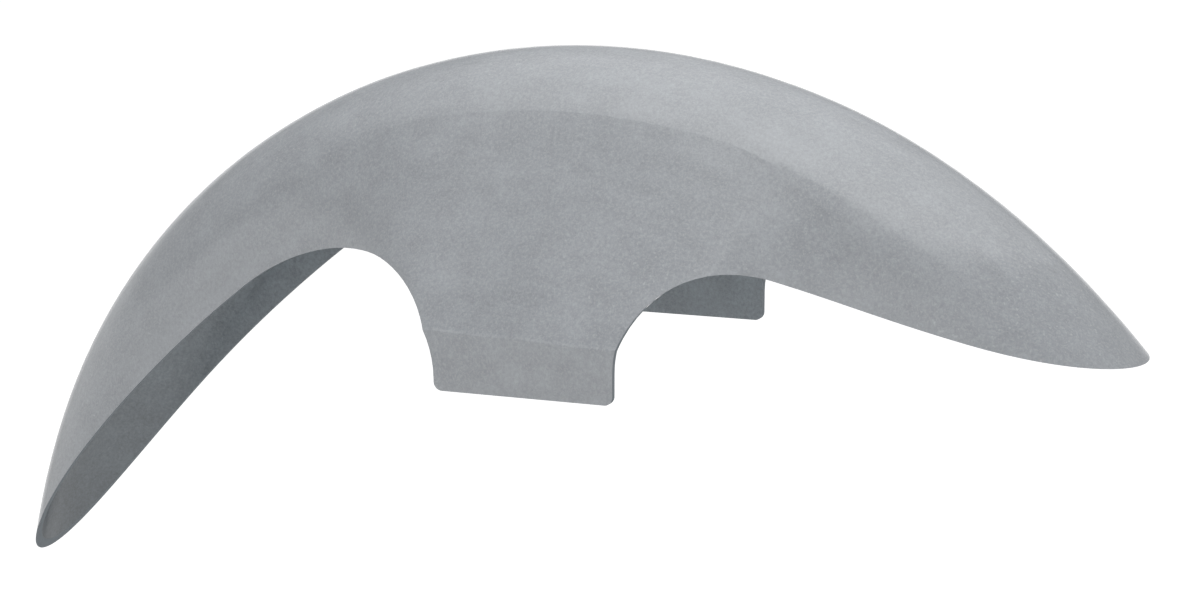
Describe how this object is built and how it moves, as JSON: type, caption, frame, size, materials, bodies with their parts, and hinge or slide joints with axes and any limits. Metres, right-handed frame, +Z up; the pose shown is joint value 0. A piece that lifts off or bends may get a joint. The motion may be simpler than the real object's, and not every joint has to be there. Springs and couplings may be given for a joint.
{
  "type": "motorcycle front fender",
  "caption": "One-piece moulded motorcycle front fender: a round-crowned shell that arches over the wheel, with leaning sides ending in flat fork mounting tabs, a pointed nose and a long tail.",
  "frame": {"origin": "midway between the two mounting tabs, at their middle height, straight above the wheel axle", "axes": "+X forwards, +Y to the bike's left, +Z up"},
  "size_m": [0.6519, 0.202, 0.319],
  "materials": {
    "shell": "bare grey gelcoat with a satin sheen and a fine mottle, over a glass fibre laminate"
  },
  "bodies": {
    "root": {"fender": "shell"}
  },
  "joints": []
}
